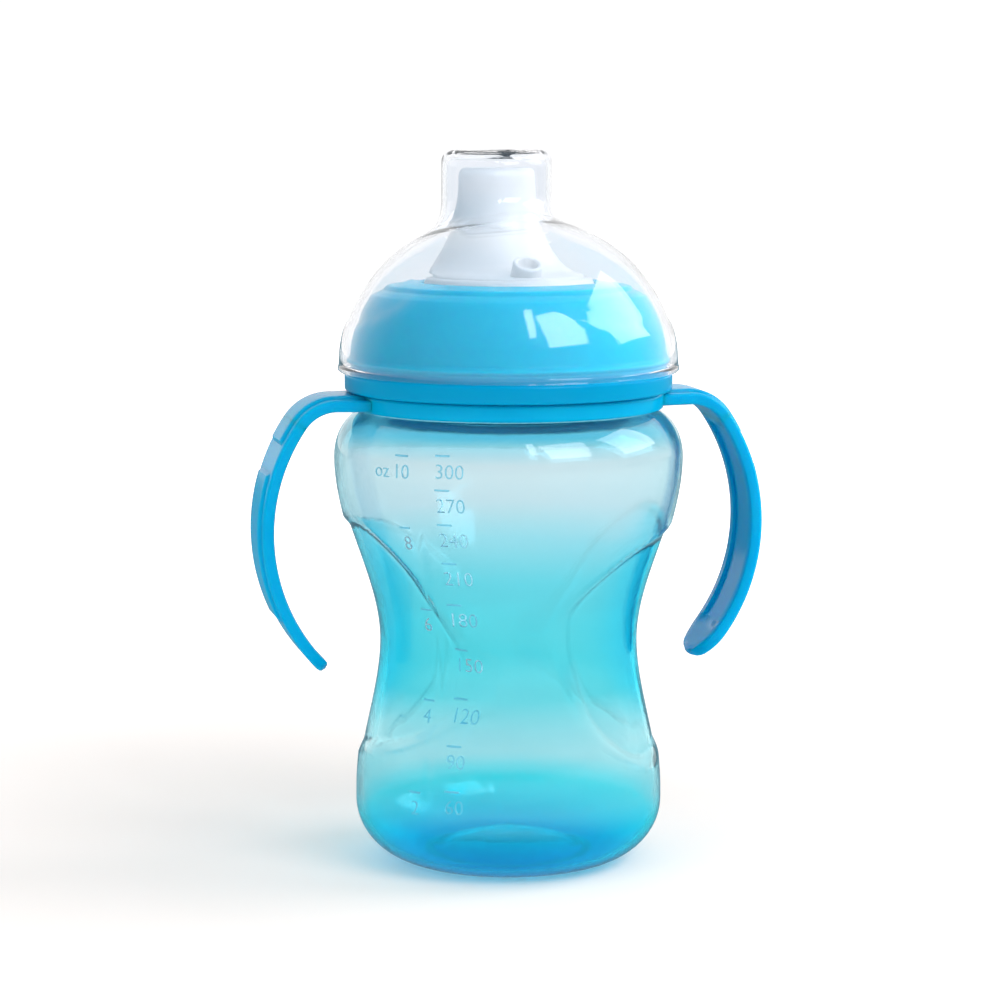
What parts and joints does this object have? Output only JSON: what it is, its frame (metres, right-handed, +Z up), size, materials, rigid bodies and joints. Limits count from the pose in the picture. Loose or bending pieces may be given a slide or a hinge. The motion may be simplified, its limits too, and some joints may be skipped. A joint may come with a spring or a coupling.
{
  "type": "sippy cup",
  "caption": "Toddler's drinking cup with a waisted see-through bottle, a screw collar, a soft spout, a clear push-on overcap and a ring with a handle on each side.",
  "frame": {"origin": "centre of the base, on the surface that the cup stands on", "axes": "+Z up along the bottle's axis, X through the two handles, +Y away from the drinker's vent side, towards the spout's side"},
  "size_m": [0.1168, 0.0792, 0.1618],
  "materials": {
    "bottle_plastic": "glossy translucent blue polypropylene",
    "cyan_plastic": "glossy opaque cyan polypropylene",
    "silicone": "satin milky silicone",
    "clear_plastic": "glossy clear, very slightly milky polypropylene"
  },
  "bodies": {
    "bottle": {"bottle": "bottle_plastic"},
    "handles": {"handle_ring": "cyan_plastic"},
    "spout": {"spout": "silicone"},
    "collar": {"collar": "cyan_plastic"},
    "overcap": {"overcap": "clear_plastic"}
  },
  "joints": [
    {"name": "handles_turn", "type": "hinge", "parent": "bottle", "child": "handles", "pos_m": [0, 0, 0.1059], "axis": [0, 0, 1], "continuous": true},
    {"name": "collar_rise", "type": "slide", "parent": "bottle", "child": "spout", "axis": [0, 0, 1], "range_m": [0, 0.00625]},
    {"name": "collar_turn", "type": "hinge", "parent": "spout", "child": "collar", "pos_m": [0, 0, 0.115], "axis": [0, 0, 1], "range_deg": [0, 450]},
    {"name": "overcap_lift", "type": "slide", "parent": "spout", "child": "overcap", "axis": [0, 0, 1], "range_m": [0, 0.06]}
  ],
  "couplings": [
    {"joint": "collar_rise", "follows": "collar_turn", "m_per_rad": 0.00079577}
  ]
}
